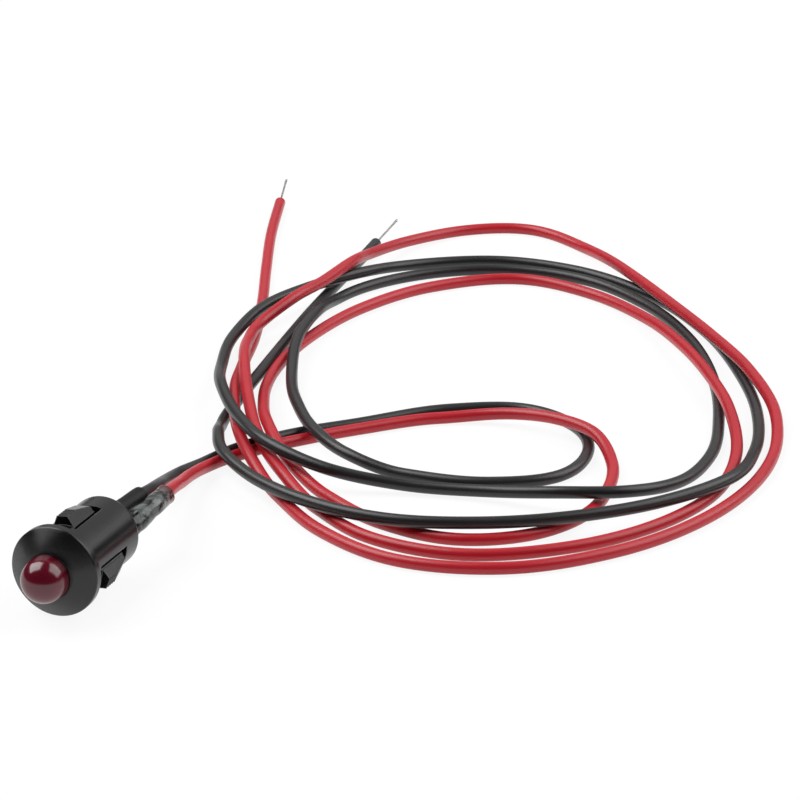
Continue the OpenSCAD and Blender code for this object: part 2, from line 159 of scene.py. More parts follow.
class Graph:
    """The nodes of one material, built round its Principled BSDF."""

    def __init__(self, name: str) -> None:
        """Start a material.

        Args:
            name: the material's name.
        """
        self.material = bpy.data.materials.new(name)
        self.material.use_nodes = True
        self.tree = self.material.node_tree
        self.tree.nodes.clear()
        self.surface = self.add("ShaderNodeBsdfPrincipled")
        self.output = self.add(
            "ShaderNodeOutputMaterial", None, {"Surface": self.surface.outputs[0]}
        )
        self.place = self.out(self.add("ShaderNodeTexCoord"), "Object")

    def add(
        self, kind: str, settings: dict | None = None, sockets: dict | None = None
    ) -> bpy.types.Node:
        """Add any node.

        Args:
            kind: the node's type.
            settings: its properties, set first.
            sockets: a value or a link for each socket, by name or number.

        Returns:
            The new node.
        """
        node = self.tree.nodes.new(kind)
        for key, value in (settings or {}).items():
            setattr(node, key, value)
        for key, value in (sockets or {}).items():
            self.feed(node.inputs[key], value)
        return node

    def feed(self, socket: bpy.types.NodeSocket, value: object) -> None:
        """Give a socket a link, a number or a colour.

        Args:
            socket: the input to feed.
            value: a wrapped or plain output, or a constant.
        """
        if isinstance(value, Socket):
            self.tree.links.new(value.out, socket)
        elif isinstance(value, bpy.types.NodeSocket):
            self.tree.links.new(value, socket)
        elif socket.type == "RGBA" and len(value) == 3:
            socket.default_value = (*value, 1.0)
        else:
            socket.default_value = value

    def out(self, node: bpy.types.Node, name: str | int) -> Socket:
        """Wrap one output of a node."""
        return Socket(self, node.outputs[name])

    def set(self, **sockets: object) -> None:
        """Feed sockets of the surface; underscores in the names stand for spaces."""
        for key, value in sockets.items():
            self.feed(self.surface.inputs[key.replace("_", " ")], value)

    def noise(self, scale: float, detail: float = 2.0) -> Socket:
        """Return a noise value from 0 to 1.

        Args:
            scale: waves to the metre.
            detail: octaves.

        Returns:
            The noise's value.
        """
        node = self.add(
            "ShaderNodeTexNoise", None, {"Vector": self.place, "Scale": scale, "Detail": detail}
        )
        return self.out(node, "Fac")

    def mix(self, share: Socket | float, a: object, b: object) -> Socket:
        """Return a colour between a and b."""
        node = self.add(
            "ShaderNodeMix", {"data_type": "RGBA"}, {"Factor": share, MIX_A: a, MIX_B: b}
        )
        return self.out(node, MIX_RESULT)

    def vector(self, operation: str, *terms: object) -> bpy.types.Node:
        """Add a Vector Math node."""
        return self.add(
            "ShaderNodeVectorMath", {"operation": operation}, dict(enumerate(terms))
        )

    def along(self, origin: Point, direction: Point) -> Socket:
        """Return the distance from origin, measured along direction."""
        from_origin = self.out(self.vector("SUBTRACT", self.place, origin), "Vector")
        return self.out(self.vector("DOT_PRODUCT", from_origin, direction), "Value")

    def from_axis(self) -> Socket:
        """Return the distance from the lamp's axis."""
        flat = self.out(self.vector("MULTIPLY", self.place, (1.0, 0.0, 1.0)), "Vector")
        return self.out(self.vector("LENGTH", flat), "Value")

    def along_axis(self) -> Socket:
        """Return the distance along the lamp's axis, from its front to its back."""
        return self.out(self.add("ShaderNodeSeparateXYZ", None, {0: self.place}), "Y")

    def rounded(self, radius: float) -> Socket:
        """Return the normal that the surface would have with its edges rounded."""
        node = self.add("ShaderNodeBevel", {"samples": BEVEL_SAMPLES}, {"Radius": radius})
        return self.out(node, "Normal")

    def edges(self, radius: float) -> Socket:
        """Return the share of the painted highlight along edges, from 0 on the flat to 1 at an
        edge.

        Args:
            radius: how far from an edge the painted highlight reaches.

        Returns:
            The share of painted highlight.
        """
        flat = self.out(self.add("ShaderNodeNewGeometry"), "Normal")
        same = self.out(self.vector("DOT_PRODUCT", self.rounded(radius), flat), "Value")
        return (1.0 - same).step(EDGE_HIGHLIGHT_STARTS, EDGE_HIGHLIGHT_FULL)

    def bump(
        self, height: Socket, depth: float, strength: float = 1.0, edge: float = 0.0
    ) -> None:
        """Raise the surface's normal by a height map.

        Args:
            height: the map.
            depth: what a height of 1 stands for, in metres.
            strength: the Bump node's own strength.
            edge: the radius that edges look rounded to, if any.
        """
        sockets = {"Height": height, "Distance": depth, "Strength": strength}
        if edge:
            sockets["Normal"] = self.rounded(edge)
        node = self.add("ShaderNodeBump", None, sockets)
        self.set(Normal=self.out(node, "Normal"))


# ------------------------------------------------------------------------------- finishes


@dataclass(frozen=True)
class MouldedPlastic:
    """Satin plastic from a finely eroded mould whose front is turned."""

    dark: Colour = (0.003, 0.003, 0.003)
    light: Colour = (0.006, 0.006, 0.0065)
    # Lighter colour painted along the edges: a painted highlight
    edge_highlight: Colour = (0.09, 0.088, 0.088)
    roughness: float = 0.24
    uneven: float = 0.08
    cloud_scale: float = 420.0
    grain_scale: float = 9000.0
    detail: float = 3.0
    grain_depth: float = 0.005 * MM
    ring_pitch: float = 0.06 * MM
    ring_depth: float = 0.0033 * MM
    ring_stray: float = 4.0
    rings_full: float = -0.1 * MM
    edge: float = 0.16 * MM

    def material(self, name: str) -> bpy.types.Material:
        """Return the plastic's material.

        Args:
            name: the material's name.

        Returns:
            The material.
        """
        g = Graph(name)
        cloud = g.noise(self.cloud_scale, self.detail)
        grain = g.noise(self.grain_scale, self.detail)
        g.set(
            # Edges are painted lighter here: a painted highlight along the mould's edges
            Base_Color=g.mix(g.edges(self.edge), g.mix(cloud, self.dark, self.light), self.edge_highlight),
            Roughness=self.roughness + cloud * self.uneven + grain * self.uneven - self.uneven,
            IOR=PLASTIC_IOR,
        )
        in_front = g.along_axis().step(0.0, self.rings_full)
        turns = g.from_axis() * (2 * math.pi / self.ring_pitch) + cloud * self.ring_stray
        rings = turns.sin() * in_front
        height = grain * self.grain_depth + rings * self.ring_depth
        g.bump(height, depth=1.0, edge=self.edge)
        return g.material


@dataclass(frozen=True)
class ClearEpoxy:
    """Coloured clear resin of the LED's body, darker where the holder shades it."""

    deep: Colour = (0.12, 0.0, 0.01)
    pale: Colour = (0.16, 0.001, 0.016)
    shaded: Colour = (0.03, 0.0, 0.004)
    shade_starts: float = -3.2 * MM
    shade_full: float = -2.2 * MM
    flow_scale: float = 300.0
    roughness: float = 0.16
    smear: float = 0.04
    smear_scale: float = 2500.0
    clear: float = 0.3
    ior: float = 1.62
    wave_scale: float = 700.0
    wave_detail: float = 1.0
    wave_depth: float = 0.01 * MM
    wave_strength: float = 0.35

    def material(self, name: str) -> bpy.types.Material:
        """Return the resin's material.

        Args:
            name: the material's name.

        Returns:
            The material.
        """
        g = Graph(name)
        flow = g.noise(self.flow_scale)
        sunk = g.along_axis().step(self.shade_starts, self.shade_full)
        g.set(
            Base_Color=g.mix(sunk, g.mix(flow, self.deep, self.pale), self.shaded),
            Roughness=self.roughness + g.noise(self.smear_scale) * self.smear,
            IOR=self.ior,
            Transmission_Weight=self.clear,
        )
        g.bump(g.noise(self.wave_scale, self.wave_detail), self.wave_depth, self.wave_strength)
        return g.material


@dataclass(frozen=True)
class MetalFinish:
    """Tinned, soldered or gilded metal, stained here and there."""

    colour: Colour
    stain: Colour
    roughness: float
    uneven: float = 0.15
    cloud_scale: float = 1500.0
    cloud_detail: float = 3.0
    stain_starts: float = 0.45
    stain_full: float = 0.8
    grain_scale: float = 5000.0
    grain_depth: float = 0.004 * MM

    def material(self, name: str) -> bpy.types.Material:
        """Return the metal's material.

        Args:
            name: the material's name.

        Returns:
            The material.
        """
        g = Graph(name)
        cloud = g.noise(self.cloud_scale, self.cloud_detail)
        stained = cloud.step(self.stain_starts, self.stain_full)
        g.set(
            Base_Color=g.mix(stained, self.colour, self.stain),
            Metallic=1.0,
            Roughness=self.roughness + cloud * self.uneven,
        )
        g.bump(g.noise(self.grain_scale), self.grain_depth)
        return g.material


class Metal(Enum):
    """The metals of the lamp and its wiring: colour, stain and roughness."""

    TINNED_STEEL = MetalFinish((0.62, 0.62, 0.63), (0.42, 0.41, 0.4), 0.28)
    CHIP = MetalFinish((0.35, 0.3, 0.22), (0.2, 0.17, 0.13), 0.4)
    GOLD = MetalFinish((0.83, 0.6, 0.22), (0.7, 0.45, 0.15), 0.2)
    SOLDER = MetalFinish((0.68, 0.69, 0.71), (0.5, 0.5, 0.5), 0.22)
    TINNED_WIRE = MetalFinish((0.66, 0.66, 0.68), (0.5, 0.49, 0.48), 0.3)
    BARE_STRANDS = MetalFinish((0.6, 0.58, 0.56), (0.4, 0.37, 0.34), 0.35)

    def material(self) -> bpy.types.Material:
        """Return the metal's material, which is named after it."""
        return self.value.material(self.name.lower())


@dataclass(frozen=True)
class ShrunkTube:
    """Heat-shrunk tube: black and satin, or smoky and see-through."""

    dark: Colour
    light: Colour
    roughness: float
    clear: float = 0.0
    glow: Colour | None = None
    mouth: Point = (0.0, 0.0, 0.0)
    along: Point = (0.0, 1.0, 0.0)
    glow_length: float = 2.5 * MM
    glow_share: float = 0.95
    ior: float = PLASTIC_IOR
    uneven: float = 0.1
    cloud_scale: float = 900.0
    light_starts: float = 0.4
    light_full: float = 0.64
    lump: float = 0.02 * MM
    lump_scale: float = 2600.0
    lump_strength: float = 0.6
    detail: float = 3.0

    def material(self, name: str) -> bpy.types.Material:
        """Return the tube's material, which takes the lead's colour near its mouth.

        Args:
            name: the material's name.

        Returns:
            The material.
        """
        g = Graph(name)
        cloud = g.noise(self.cloud_scale, self.detail)
        colour = g.mix(cloud.step(self.light_starts, self.light_full), self.dark, self.light)
        if self.glow:
            near = g.along(self.mouth, self.along).step(-self.glow_length, 0.0)
            colour = g.mix(near * self.glow_share, colour, self.glow)
        g.set(
            Base_Color=colour,
            Roughness=self.roughness + cloud * self.uneven,
            Transmission_Weight=self.clear,
            IOR=self.ior,
        )
        g.bump(g.noise(self.lump_scale, self.detail), self.lump, self.lump_strength)
        return g.material


@dataclass(frozen=True)
class WireJacket:
    """Extruded vinyl on a lead."""

    dark: Colour
    light: Colour
    roughness: float = 0.28
    skin_uneven: float = 0.1
    cloud_uneven: float = 0.06
    cloud_scale: float = 160.0
    skin_scale: float = 3500.0
    skin_depth: float = 0.006 * MM

    def material(self, name: str) -> bpy.types.Material:
        """Return the vinyl's material.

        Args:
            name: the material's name.

        Returns:
            The material.
        """
        g = Graph(name)
        cloud = g.noise(self.cloud_scale)
        surface = g.noise(self.skin_scale)
        uneven = surface * self.skin_uneven + cloud * self.cloud_uneven
        g.set(
            Base_Color=g.mix(cloud, self.dark, self.light),
            Roughness=self.roughness + uneven,
            IOR=PLASTIC_IOR,
        )
        g.bump(surface, self.skin_depth)
        return g.material


@dataclass(frozen=True)
class BandedCoat:
    """Resistor lacquer with its rings of colour, each at a share of the body's length."""

    front: Point
    along: Point
    length: float
    base: Colour = (0.62, 0.47, 0.27)
    shade: float = 0.85
    cloud_scale: float = 1200.0
    half_ring: float = 0.045
    rings: tuple[tuple[float, Colour], ...] = (
        (0.2, (0.65, 0.22, 0.02)),
        (0.4, (0.65, 0.22, 0.02)),
        (0.57, (0.09, 0.03, 0.012)),
        (0.82, (0.5, 0.3, 0.05)),
    )
    roughness: float = 0.3
    bump_scale: float = 1800.0
    bump_depth: float = 0.01 * MM

    def material(self, name: str) -> bpy.types.Material:
        """Return the lacquer's material.

        Args:
            name: the material's name.

        Returns:
            The material.
        """
        g = Graph(name)
        place = g.along(self.front, self.along) / self.length
        shaded = tuple(self.shade * c for c in self.base)
        colour = g.mix(g.noise(self.cloud_scale), self.base, shaded)
        for centre, ring in self.rings:
            colour = g.mix((self.half_ring - (place - centre).abs()) > 0.0, colour, ring)
        g.set(Base_Color=colour, Roughness=self.roughness, IOR=PLASTIC_IOR)
        g.bump(g.noise(self.bump_scale), self.bump_depth)
        return g.material


# --------------------------------------------------------------------------------- meshes


def unit(v: Vector) -> Vector:
    """Return v at length 1."""
    return v.normalized()


def between(a: Vector, b: Vector, distance: float) -> Vector:
    """Return the point at a distance from a, on the way to b."""
    return a + unit(b - a) * distance


def mesh_piece(
    name: str, points: Sequence[Vector], faces: Sequence[Sequence[int]], smooth: bool = True
) -> bpy.types.Object:
    """Make a mesh object in the row frame.

    Args:
        name: the piece's name.
        points: corners.
        faces: corner numbers of each face.
        smooth: whether its faces are shaded smooth.

    Returns:
        The new object.
    """
    mesh = bpy.data.meshes.new(name)
    mesh.from_pydata([tuple(p) for p in points], [], [list(f) for f in faces])
    mesh.polygons.foreach_set("use_smooth", [smooth] * len(mesh.polygons))
    mesh.validate()
    mesh.update()
    piece = bpy.data.objects.new(name, mesh)
    bpy.context.scene.collection.objects.link(piece)
    return piece


def add_row(points: list[Vector], row: Iterable[Vector]) -> list[int]:
    """Add a row of corners to a mesh's points.

    Args:
        points: the mesh's points so far, which grow.
        row: the new corners.

    Returns:
        The new corners' numbers.
    """
    first = len(points)
    points.extend(row)
    return list(range(first, len(points)))


def skin(rows: Sequence[Sequence[int]]) -> list[tuple[int, ...]]:
    """Return the quads between rings of corner numbers.

    Args:
        rows: rings of equal length.

    Returns:
        The quads.
    """
    count = len(rows[0])
    return [
        (a[k], a[(k + 1) % count], b[(k + 1) % count], b[k])
        for a, b in zip(rows, rows[1:])
        for k in range(count)
    ]


def frames(path: Sequence[Vector]) -> list[Axes]:
    """Return two directions square to a path at each of its points, without twist.

    Args:
        path: the points.

    Returns:
        A pair of directions for each point.
    """
    made, side = [], None
    for i in range(len(path)):
        ahead = unit(path[min(i + 1, len(path) - 1)] - path[max(i - 1, 0)])
        side = side or ahead.orthogonal()
        side = unit(side - ahead * side.dot(ahead))
        made.append((side, ahead.cross(side)))
    return made


def ring_points(
    centre: Vector, axes: Axes, radius: Callable[[float], float], sides: int
) -> list[Vector]:
    """Return one ring of a tube.

    Args:
        centre: the ring's centre.
        axes: the two directions that it lies in.
        radius: the radius at an angle.
        sides: corners in the ring.

    Returns:
        The ring's corners.
    """
    turns = [2 * math.pi * k / sides for k in range(sides)]
    return [
        centre + (axes[0] * math.cos(t) + axes[1] * math.sin(t)) * radius(t) for t in turns
    ]


def resampled(path: Sequence[Vector], step: float) -> list[Vector]:
    """Return points at even steps along a path.

    Args:
        path: the points of a line of straight runs.
        step: the rough distance between the new points.

    Returns:
        The new points, with both ends of the path.
    """
    runs = [(b - a).length for a, b in zip(path, path[1:])]
    total = sum(runs)
    count = max(2, round(total / step))
    made, run, gone = [], 0, 0.0
    for i in range(count + 1):
        target = total * i / count
        while run < len(runs) - 1 and gone + runs[run] < target:
            gone += runs[run]
            run += 1
        made.append(path[run].lerp(path[run + 1], (target - gone) / runs[run]))
    return made


def eased(path: Sequence[Vector], cut: float, steps: int = 6) -> list[Vector]:
    """Return a path with each inner corner eased into a curve, as the CAD model's sleeves are.

    Args:
        path: the corners.
        cut: how far from a corner its curve starts.
        steps: pieces in each curve.

    Returns:
        The points of the eased path.
    """
    made = [path[0]]
    for before, here, after in zip(path, path[1:], path[2:]):
        a, b = between(here, before, cut), between(here, after, cut)
        for s in range(steps + 1):
            t = s / steps
            made.append(a * (1 - t) ** 2 + here * (2 * t * (1 - t)) + b * t * t)
    return [*made, path[-1]]


def dress(name: str, material: bpy.types.Material) -> None:
    """Give a CAD node its material, in its object's first material slot.

    Args:
        name: the node.
        material: its material.
    """
    bpy.data.objects[name].material_slots[0].material = material
    LOG.info("dressed %s", name)


# ----------------------------------------------------------------------------- the object


@dataclass
class Holder:
    """The moulded holder, which keeps its CAD shape."""

    finish: MouldedPlastic = MouldedPlastic()

    def build(self) -> None:
        """Dress the CAD node."""
        dress("housing", self.finish.material("black_nylon"))


@dataclass
class Led:
    """The LED: a clear body turned round its axis, over CAD legs, chip and bond wire."""

    radius: float = 2.45 * MM
    dome_centre: float = -3.2 * MM
    seat: float = 2.2 * MM
    back: float = 3.2 * MM
    flange_radius: float = 2.9 * MM
    flat: float = 2.5 * MM
    edge: float = 0.08 * MM
    tail_share: float = 0.5
    sides: int = 96
    dome_rings: int = 28
    finish: ClearEpoxy = ClearEpoxy()

    def profile(self) -> list[tuple[float, float]]:
        """Return the half section from tip to tail.

        Returns:
            A distance along the axis and a radius for each ring.
        """
        e = self.edge
        angles = [math.pi / 2 * (i + 1) / self.dome_rings for i in range(self.dome_rings)]
        dome = [
            (self.dome_centre - self.radius * math.cos(a), self.radius * math.sin(a))
            for a in angles
        ]
        return dome + [
            (self.seat - e, self.radius),
            (self.seat, self.radius + e),
            (self.seat, self.flange_radius - e),
            (self.seat + e, self.flange_radius),
            (self.back - e, self.flange_radius),
            (self.back, self.flange_radius - e),
            (self.back, self.radius * self.tail_share),
        ]

    def body(self) -> bpy.types.Object:
        """Build the clear body as one closed skin, with the flat on its flange.

        Returns:
            The body.
        """
        n = self.sides
        turns = [2 * math.pi * k / n for k in range(n)]
        points = [Vector((0, self.dome_centre - self.radius, 0))]
        rows = [
            add_row(
                points,
                [Vector((r * math.cos(t), y, min(r * math.sin(t), self.flat))) for t in turns],
            )
            for y, r in self.profile()
        ]
        (last,) = add_row(points, [Vector((0, self.back, 0))])
        faces: list[tuple[int, ...]] = [(0, rows[0][k], rows[0][(k + 1) % n]) for k in range(n)]
        faces += [tuple(reversed(q)) for q in skin(rows)]
        faces += [(last, rows[-1][(k + 1) % n], rows[-1][k]) for k in range(n)]
        return mesh_piece("led_clear_body", points, faces)

    def build(self) -> None:
        """Build the body and dress what is inside it."""
        body = self.body()
        body.data.materials.append(self.finish.material("red_epoxy"))
        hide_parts("led_lens")
        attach(body, BODY)
        LOG.info("built %s", body.name)
        steel = Metal.TINNED_STEEL.material()
        for name in ("led_cathode_frame", "led_anode_frame"):
            dress(name, steel)
        dress("led_die", Metal.CHIP.material())
        dress("led_bond_wire", Metal.GOLD.material())


@dataclass
class Sleeve:
    """A heat-shrunk sleeve: a tube that swells over what it covers and wrinkles a little.

    The corners of its centre line are in millimetres. Its profile has a share of its length
    and a radius for each knot.
    """

    name: str
    node: str
    slot: str
    corners: Sequence[Point]
    profile: Profile
    inner: float
    finish: ShrunkTube
    wrinkle: float = 0.02 * MM
    wrinkles_round: float = 1.6
    wrinkles_along: float = 16.0
    lip: float = 0.1 * MM
    cut: float = 1.0 * MM
    step: float = 0.12 * MM
    sides: int = 48
    inner_runs: int = 4
    seed: float = 0.0

    def radius(self, t: float) -> float:
        """Return the outer radius from the profile, in which each knot eases into the next.

        Args:
            t: the share of the sleeve's length.

        Returns:
            The radius.
        """
        for (a, ra), (b, rb) in zip(self.profile, self.profile[1:]):
            if t <= b:
                u = (t - a) / (b - a)
                return ra + (rb - ra) * u * u * (3 - 2 * u)
        return self.profile[-1][1]

    def outer(self, t: float, from_end: float, turn: float) -> float:
        """Return the outer radius with its wrinkles and its rounded lips.

        Args:
            t: the share of the sleeve's length.
            from_end: the distance from the nearer end.
            turn: the angle round the sleeve.

        Returns:
            The radius.
        """
        off = self.lip * (1 - math.sqrt(min(1.0, from_end / self.lip)))
        across = self.wrinkles_round
        spot = Vector(
            (math.cos(turn) * across, math.sin(turn) * across, t * self.wrinkles_along + self.seed)
        )
        return self.radius(t) - off + self.wrinkle * noise.noise(spot)

    def build(self) -> None:
        """Build the sleeve as one closed skin: up its outside and back down its inside."""
        corners = [Vector(c) * MM for c in self.corners]
        path = resampled(eased(corners, self.cut), self.step)
        axes = frames(path)
        count = len(path) - 1
        points: list[Vector] = []
        rows: list[list[int]] = []
        for i, (centre, pair) in enumerate(zip(path, axes)):
            radius = partial(self.outer, i / count, min(i, count - i) * self.step)
            rows.append(add_row(points, ring_points(centre, pair, radius, self.sides)))
        for k in range(self.inner_runs, -1, -1):
            i = count * k // self.inner_runs
            ring = ring_points(path[i], axes[i], lambda turn: self.inner, self.sides)
            rows.append(add_row(points, ring))
        rows.append(rows[0])
        piece = mesh_piece(self.name, points, skin(rows))
        piece.data.materials.append(self.finish.material(self.slot))
        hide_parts(self.node)
        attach(piece, BODY)
        LOG.info("built %s", self.name)


@dataclass
class Strands:
    """Bare strands round a core strand, twisted together, that go on from a lead's end."""

    name: str
    node: str
    start: Vector
    ahead: Vector
    length: float = 10 * MM
    hidden: float = 0.3 * MM
    ragged: float = 0.05
    bundle: float = 0.09 * MM
    strand: float = 0.05 * MM
    count: int = 6
    turns: float = 1.6
    splay: float = 0.04 * MM
    least_splay: float = 0.9
    splay_power: int = 6
    rings: int = 40
    sides: int = 8

    def build(self, metal: bpy.types.Material) -> bpy.types.Object:
        """Build the strands.

        Args:
            metal: the bare metal's material.

        Returns:
            The piece.
        """
        draw = random.Random(self.name)
        side = unit(self.ahead.orthogonal())
        other = self.ahead.cross(side)
        points: list[Vector] = []
        faces: list[tuple[int, ...]] = []
        for s in range(self.count + 1):
            phase = 2 * math.pi * s / self.count
            reach = self.length * (1 - self.ragged * draw.random())
            core = s == self.count
            path = []
            for i in range(self.rings + 1):
                t = i / self.rings
                turn = phase + 2 * math.pi * self.turns * t
                far = 0.0
                if not core:
                    share = draw.uniform(self.least_splay, 1.0)
                    far = self.bundle + self.splay * share * t**self.splay_power
                path.append(
                    self.start
                    + self.ahead * (reach * t - self.hidden)
                    + (side * math.cos(turn) + other * math.sin(turn)) * far
                )
            rows = [
                add_row(points, ring_points(centre, pair, lambda turn: self.strand, self.sides))
                for centre, pair in zip(path, frames(path))
            ]
            faces += skin(rows)
            faces += [tuple(reversed(rows[0])), tuple(rows[-1])]
        piece = mesh_piece(self.name, points, faces)
        piece.data.materials.append(metal)
        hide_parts(self.node)
        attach(piece, BODY)
        LOG.info("built %s", self.name)
        return piece


# ------------------------------------------------------------------------------ the leads

# The surface that the lamp lies on, and the leads' heights over it, in millimetres
FLOOR = -4.925
LEAD_D = 1.4
BED = FLOOR + LEAD_D / 2
LAYER_PLAY = 0.1
RISE = LEAD_D + LAYER_PLAY

# How far a point seems, to the camera, to move in plan for each unit of its height
LEAN = Vector((-0.987, 2.356))

# A curve's handle reaches over one part in this many of its run
HANDLE_PARTS = 3


def relaxed(
    points: Sequence[Vector],
    first: int,
    rounds: int = 3,
    share: float = 0.4,
    most: float = 0.3 * MM,
) -> list[Vector]:
    """Even out a route's small kinks by less than a lead's own width.

    Each point is evened where it seems to lie on the surface, and moves in plan only.

    Args:
        points: the route.
        first: the first point that may move.
        rounds: how often the whole route is gone over.
        share: how much of the way each point goes to the curve through its neighbours.
        most: how far a point may end up from where it was.

    Returns:
        The evened route, with every height as it was.
    """
    start = [p.xy + LEAN * (p.z - BED * MM) for p in points]
    now = list(start)
    for _ in range(rounds):
        at = [0.0]
        for a, b in zip(now, now[1:]):
            at.append(at[-1] + (b - a).length)
        then = list(now)
        for i in range(first, len(now) - 2):
            near = (i - 2, i - 1, i + 1, i + 2)
            goal = Vector((0.0, 0.0))
            for j in near:
                weight = math.prod((at[i] - at[k]) / (at[j] - at[k]) for k in near if k != j)
                goal += now[j] * weight
            move = now[i].lerp(goal, share) - start[i]
            if move.length > most:
                move *= most / move.length
            then[i] = start[i] + move
        now = then
    return [p + (b - a).to_3d() for p, a, b in zip(points, start, now)]


@dataclass
class Lead:
    """A lead: out of its sleeve, down to the surface and round in a loose coil.

    Its points are in millimetres.
    """

    name: str
    node: str
    strands_name: str
    strands_node: str
    slot: str
    inside: Sequence[Point]
    drop: Sequence[Point]
    route: Sequence[Point]
    finish: WireJacket
    settled: int = 3
    resolution: int = 10
    section: int = 6

    def line(self) -> list[Vector]:
        """Return the lead's points, in which the first ones of the route stay as they are.

        Returns:
            The points inside its sleeve, on the way down and on the surface.
        """
        mouth = self.inside[-1][2]
        down = [(x, y, mouth + (BED - mouth) * share) for x, y, share in self.drop]
        lying = [(x, y, BED + RISE * layer) for x, y, layer in self.route]
        points = [Vector(p) * MM for p in (*self.inside, *down, *lying)]
        return relaxed(points, len(self.inside) + len(self.drop) + self.settled)

    def length(self, curve: bpy.types.Object) -> float:
        """Return the curve's own length."""
        return curve.data.splines[0].calc_length()

    def curve(self, points: Sequence[Vector]) -> bpy.types.Object:
        """Build the lead as one smooth curve of round section.

        Its slope is held back near the surface, so that no handle dips under it.

        Args:
            points: the lead's points.

        Returns:
            The curve's object.
        """
        data = bpy.data.curves.new(self.name, "CURVE")
        data.dimensions = "3D"
        data.bevel_depth = LEAD_D / 2 * MM
        data.bevel_resolution = self.section
        data.use_fill_caps = True
        data.resolution_u = self.resolution
        data.twist_mode = "MINIMUM"
        spline = data.splines.new("BEZIER")
        spline.bezier_points.add(len(points) - 1)
        runs = [b - a for a, b in zip(points, points[1:])]
        for i, (knot, here) in enumerate(zip(spline.bezier_points, points)):
            before, after = runs[max(i - 1, 0)], runs[min(i, len(runs) - 1)]
            ahead = unit(unit(before) / before.length + unit(after) / after.length)
            room = HANDLE_PARTS * (here.z - BED * MM) / max(before.length, after.length)
            ahead.z = max(-room, min(room, ahead.z))
            knot.handle_left_type = knot.handle_right_type = "FREE"
            knot.co = here
            knot.handle_left = here - ahead * before.length / HANDLE_PARTS
            knot.handle_right = here + ahead * after.length / HANDLE_PARTS
        piece = bpy.data.objects.new(self.name, data)
        bpy.context.scene.collection.objects.link(piece)
        return piece

    def build(self, metal: bpy.types.Material) -> None:
        """Build the lead and its strands.

        Args:
            metal: the strands' material.
        """
        points = self.line()
        piece = self.curve(points)
        piece.data.materials.append(self.finish.material(self.slot))
        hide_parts(self.node)
        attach(piece, BODY)
        strands = Strands(
            self.strands_name, self.strands_node, points[-1], unit(points[-1] - points[-2])
        ).build(metal)
        tuple(points[0])
        self.length(piece)
        LOG.info("built %s, %.3f m", self.name, self.length(piece))


# Each lead's way down from its sleeve: x and y in millimetres, and the share of the drop
# that is behind it
BLACK_DROP = (
    (0, 21.3, 0.096), (-0.85, 24.8, 0.278), (-2.4, 30, 0.593), (-3.4, 36, 0.871),
    (-2.75, 41.5, 0.995),
)
RED_DROP = (
    (1.4, 24, 0.167), (0.05, 28.8, 0.446), (-1.1, 33.5, 0.676), (-1.6, 38.5, 0.875),
    (-0.75, 43, 0.955),
)
# Each lead's route over the surface: x and y in millimetres, and how many leads it lies on
BLACK_ROUTE = (
    (-1.6, 45.45, 0), (2.05, 51.7, 0), (8.3, 58.45, 0), (16.25, 66.55, 0), (24.75, 70.35, 0),
    (31.9, 67.35, 0), (35.55, 60.75, 0), (35.4, 52.6, 0), (28.25, 47.75, 0), (18.8, 46.2, 0),
    (11.45, 47.45, 0.75), (5.85, 51.4, 1), (0.7, 58.35, 1), (-4.25, 68.4, 0.5),
    (-7.7, 77.85, 1), (-9.75, 87.05, 1), (-10.7, 97.1, 0), (-5.9, 107.2, 0), (3.65, 114.2, 0),
    (14.8, 114.95, 0), (25.25, 108.85, 0), (34.15, 99.5, 0), (41.1, 88.2, 0), (45.55, 76.35, 0),
    (48.6, 64.4, 0), (48.5, 55.15, 0.25), (44.5, 47.65, 1), (38, 45.2, 1), (29.6, 44.55, 0.25),
    (20.15, 42.5, 0.25), (11.65, 40.5, 1.25), (4.35, 42.25, 2), (-2.15, 48.55, 2),
    (-7.55, 55.95, 2), (-13.35, 67.3, 0.75), (-16, 77.7, 0.5), (-16.65, 85.25, 1),
    (-13.75, 94.75, 1), (-10.5, 102.1, 1), (-7.2, 109.9, 0.25), (1.35, 116.9, 0),
    (13, 117.6, 0), (24.5, 112.45, 0), (35.25, 102.7, 0), (43.15, 91, 0), (49.1, 79.65, 0),
    (53.15, 67.75, 0.25), (54.2, 55.75, 1), (48.95, 46.8, 1), (42.25, 39.7, 1), (33.1, 33.9, 1),
    (23.05, 30.45, 1), (12.25, 32.65, 1), (4.6, 36.65, 1), (-0.85, 41.1, 1.25),
    (-3.85, 46.35, 1), (-6.2, 52.65, 0), (-7.3, 60, 0), (-9.1, 69.7, 0), (-10.3, 79.75, 0),
    (-12.05, 89.8, 0), (-12.95, 101.6, 0), (-14.25, 114.25, 0), (-14.6, 117.4, 0),
)
